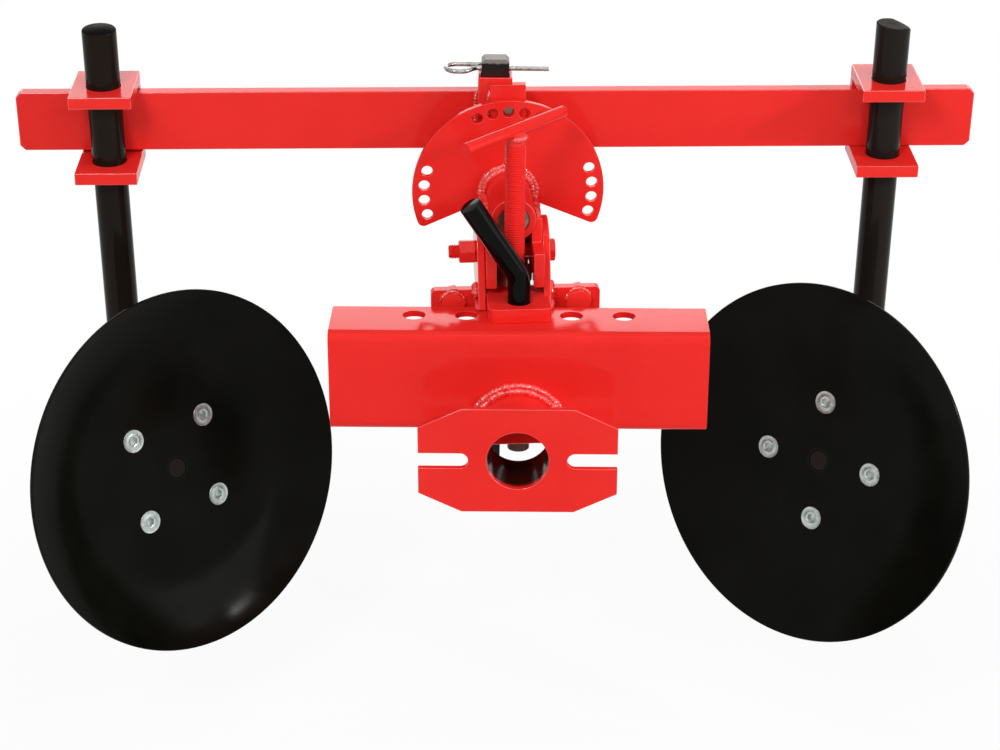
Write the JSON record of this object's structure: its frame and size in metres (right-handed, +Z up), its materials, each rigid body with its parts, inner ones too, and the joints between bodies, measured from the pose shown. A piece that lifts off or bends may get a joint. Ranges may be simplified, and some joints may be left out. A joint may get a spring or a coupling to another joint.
{
  "type": "disc ridger",
  "caption": "Disc ridger for a walking tractor: round-bore hitch flange, swinging and tilting yoke, index plate, cross beam and angled dished discs on swivel shanks.",
  "frame": {"origin": "centre of the hitch bore at the flange's front face", "axes": "-Y towards the tractor, +X to the right as seen from the tractor, +Z up; the hitch is level and the discs' rims meet the ground at Z = -0.2455 m"},
  "size_m": [0.936, 0.3311, 0.6038],
  "materials": {
    "red_paint": "satin",
    "black_gloss": "gloss",
    "zinc": "satin",
    "bare_steel": "satin"
  },
  "bodies": {
    "hitch": {"hitch_channel": "red_paint", "hitch_flange": "red_paint", "hitch_tube": "red_paint"},
    "yoke": {"upper_tongue": "red_paint", "lower_tongue": "red_paint", "yoke_back": "red_paint", "stop_bar": "red_paint", "stop_bolt_left": "red_paint", "stop_bolt_right": "red_paint", "cheek_left": "red_paint", "cheek_right": "red_paint", "hitch_pin": "black_gloss", "pivot_bolt": "red_paint", "pivot_nut": "red_paint"},
    "head": {"roll_tube": "red_paint", "head_web": "red_paint", "sector_plate": "red_paint", "head_plate_left": "red_paint", "head_plate_right": "red_paint", "screw_nut": "bare_steel", "depth_screw": "red_paint", "screw_handle": "red_paint"},
    "beam": {"tool_beam": "red_paint", "roll_shaft": "bare_steel", "roll_plate": "red_paint", "lock_pin": "bare_steel", "bar_socket": "red_paint", "upper_lug_left": "red_paint", "upper_lug_right": "red_paint", "lower_lug_left": "red_paint", "lower_lug_right": "red_paint", "clamp_plate_left": "red_paint", "clamp_plate_right": "red_paint", "clamp_bolt_left": "zinc", "clamp_bolt_right": "zinc"},
    "centre_bar": {"drop_bar": "black_gloss", "bar_clip": "zinc"},
    "disc_arm_left": {"shank_left": "black_gloss", "knuckle_left": "black_gloss", "spindle_left": "bare_steel"},
    "disc_wheel_left": {"disc_left": "black_gloss", "hub_left": "black_gloss", "disc_bolts_left": "zinc"},
    "disc_arm_right": {"shank_right": "black_gloss", "knuckle_right": "black_gloss", "spindle_right": "bare_steel"},
    "disc_wheel_right": {"disc_right": "black_gloss", "hub_right": "black_gloss", "disc_bolts_right": "zinc"}
  },
  "joints": [
    {"name": "swing", "type": "hinge", "parent": "hitch", "child": "yoke", "pos_m": [0, 0.112, 0], "axis": [0, 0, 1], "range_deg": [-13, 3]},
    {"name": "tilt", "type": "hinge", "parent": "yoke", "child": "head", "pos_m": [-0.0082, 0.17703, 0.1419], "axis": [0.9962, 0.0872, 0], "range_deg": [-10, 4]},
    {"name": "roll", "type": "hinge", "parent": "head", "child": "beam", "pos_m": [-0.01227, 0.22359, 0.18904], "axis": [-0.0869, 0.9929, 0.0811], "range_deg": [-21.6, 21.6]},
    {"name": "bar_slide", "type": "slide", "parent": "beam", "child": "centre_bar", "axis": [0.0212, -0.0805, 0.9965], "range_m": [-0.0035, 0.3]},
    {"name": "swivel_left", "type": "hinge", "parent": "beam", "child": "disc_arm_left", "pos_m": [-0.40134, 0.2186, 0.25017], "axis": [0.0029, -0.0811, 0.9967], "range_deg": [-20, 20]},
    {"name": "swivel_right", "type": "hinge", "parent": "beam", "child": "disc_arm_right", "pos_m": [0.35618, 0.24559, 0.25017], "axis": [-0.0029, 0.0811, -0.9967], "range_deg": [-20, 20]},
    {"name": "spin_left", "type": "hinge", "parent": "disc_arm_left", "child": "disc_wheel_left", "pos_m": [-0.32371, 0.12069, -0.07166], "axis": [0.6907, -0.6956, 0.1977], "continuous": true},
    {"name": "spin_right", "type": "hinge", "parent": "disc_arm_right", "child": "disc_wheel_right", "pos_m": [0.28572, 0.14218, -0.06887], "axis": [0.6395, 0.743, -0.1977], "continuous": true}
  ]
}
